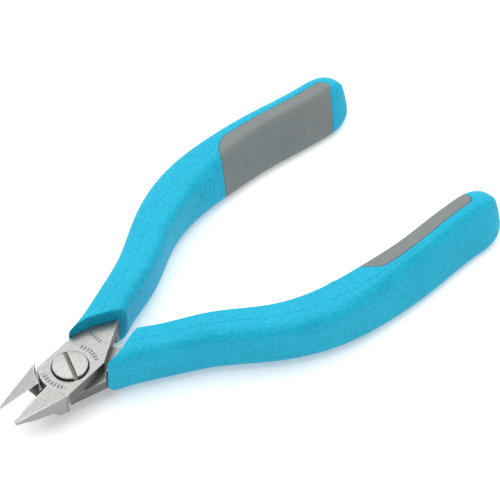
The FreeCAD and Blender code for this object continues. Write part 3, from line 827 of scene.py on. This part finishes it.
def screw_steel():
    """Bright turned steel, with painted shade in the slot and down the side of the head."""
    material, shader = steel("screw_steel", SCREW, 0.30, (5, 5, 5))
    shader.inputs["Anisotropic"].default_value = 0.6
    turning = node(material, "ShaderNodeTangent", direction_type="RADIAL", axis="Z")
    link(material, turning.outputs["Tangent"], shader.inputs["Tangent"])
    _, _, z = split(material, scaled_position(material, (1, 1, 1)))
    # painted shade: the screw is darkened below a height, in the slot and down the side of the head
    shaded_by(material, shader, math_node(material, "LESS_THAN", z, SLOT_SHADE_BELOW), PAINTED_SLOT_SHADE, 0.5)
    return material


# ---- scene -------------------------------------------------------------------------------------------
def add_camera():
    """Camera given by its place, its elevation, azimuth and roll, and its lens."""
    elevation, azimuth, roll = (math.radians(a) for a in (CAMERA_ELEVATION, CAMERA_AZIMUTH, CAMERA_ROLL))
    back = Vector((
        math.cos(elevation) * math.cos(azimuth),
        math.cos(elevation) * math.sin(azimuth),
        math.sin(elevation),
    ))
    level = Vector((-math.sin(azimuth), math.cos(azimuth), 0))
    right = Matrix.Rotation(roll, 3, back) @ level
    camera = bpy.data.objects.new("camera", bpy.data.cameras.new("camera"))
    camera.data.lens = CAMERA_LENS
    place = Matrix((right, back.cross(right), back)).transposed().to_4x4()
    place.translation = Vector(CAMERA_PLACE) * MM
    camera.matrix_world = place
    bpy.context.scene.collection.objects.link(camera)
    bpy.context.scene.camera = camera


def add_floor(height):
    """Large pale floor under the grips."""
    material, shader = new_material("floor_pale", FLOOR_DARK, 0.9)
    speckle = noise(material, scaled_position(material, (1, 1, 1)), 0.02, 2.0)
    color = mixed_color(material, speckle, FLOOR_LIGHT, FLOOR_DARK)
    link(material, color, shader.inputs["Base Color"])
    shader.inputs["Emission Color"].default_value = (1, 1, 1, 1)
    shader.inputs["Emission Strength"].default_value = FLOOR_GLOW
    mesh = bpy.data.meshes.new("floor")
    ways = ((-1, -1), (1, -1), (1, 1), (-1, 1))
    mesh.from_pydata([(x * FLOOR_REACH, y * FLOOR_REACH, height) for x, y in ways], [], [(0, 1, 2, 3)])
    mesh.materials.append(material)
    floor = bpy.data.objects.new("floor", mesh)
    bpy.context.scene.collection.objects.link(floor)
    floor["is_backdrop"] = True


def add_light():
    """White world and one large soft key light above."""
    world = bpy.data.worlds.new("studio")
    bpy.context.scene.world = world
    world.use_nodes = True
    background = world.node_tree.nodes["Background"]
    background.inputs["Color"].default_value = (1, 1, 1, 1)
    background.inputs["Strength"].default_value = WORLD_STRENGTH
    key = bpy.data.objects.new("key", bpy.data.lights.new("key", "AREA"))
    key.data.energy = KEY_POWER
    key.data.size = KEY_SIZE
    key.location = KEY_PLACE
    key.rotation_euler = (Vector(KEY_AIM) - Vector(KEY_PLACE)).to_track_quat("-Z", "Y").to_euler()
    bpy.context.scene.collection.objects.link(key)
    bpy.context.scene.view_settings.view_transform = "Standard"


def badge(lean_top):
    """Loops of the plain raised ring on the grip's inner side."""
    middle = INNER_MIDDLE - (BADGE_RISE - GRIP_MIDDLE)
    before = functools.partial(before_line, x=BADGE_X, slant=0.0)
    place = solve_along(np.array([middle]), np.zeros(1), lean_top, before, 5.0, LENGTH - 1)
    center = np.array([place[0], middle])
    return raised_ring(center, BADGE_RADIUS) + raised_ring(center, BADGE_RADIUS * BADGE_INNER)


def dots(pad):
    """Loops of the row of small raised rings on the pad."""
    middle = np.array([INNER_MIDDLE])
    start = solve_along(middle, np.zeros(1), pad.lean_top, pad.before_start, 5.0, LENGTH - 1)[0]
    loops = []
    for i in range(DOT_COUNT):
        loops += raised_ring(np.array([start + DOT_START + DOT_PITCH * i, INNER_MIDDLE]), DOT_RADIUS)
    return loops


def dress_steel():
    """Materials of the pieces that keep their CAD shape."""
    head = head_steel()
    screw = screw_steel()
    wire, _ = steel("spring_wire", WIRE, 0.35, (5, 5, 5))
    for name, material in (
        ("upper_half", head),
        ("lower_half", head),
        ("pivot_screw", screw),
        ("pivot_nut", screw),
        ("return_spring", wire),
    ):
        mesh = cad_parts[name].data
        mesh.materials.clear()
        mesh.materials.append(material)


def add_handle(side, mirrored, gap, outline, blue, grey):
    """Grip and pad of one side, in place of their CAD solids."""
    grip = build_grip(side + "_grip_skin", gap, outline, badge(outline.lean_top), mirrored, blue)
    pad = build_pad(side + "_pad_inlay", outline, dots(outline), mirrored, grey)
    for piece, cad_node, slot in ((grip, "_grip", "blue_grip"), (pad, "_pad", "grey_pad")):
        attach(piece, side + "_side")
        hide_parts(side + cad_node)


def main():
    blue = grained_rubber("blue_grip", BLUE_DARK, BLUE_LIGHT, *BLUE_GRAIN)
    grey = grained_rubber("grey_pad", GREY_DARK, GREY_LIGHT, *GREY_GRAIN)
    dress_steel()
    upper_outline = PadOutline(UPPER_PAD_ENDS, PAD_WIDE_EDGE, PAD_NARROW_EDGE)
    lower_outline = PadOutline(LOWER_PAD_ENDS, PAD_NARROW_EDGE, PAD_WIDE_EDGE)
    add_handle("upper", False, UPPER_GRIP_GAP, upper_outline, blue, grey)
    add_handle("lower", True, LOWER_GRIP_GAP, lower_outline, blue, grey)
    add_floor(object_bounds()[0][2])
    add_camera()
    add_light()


main()
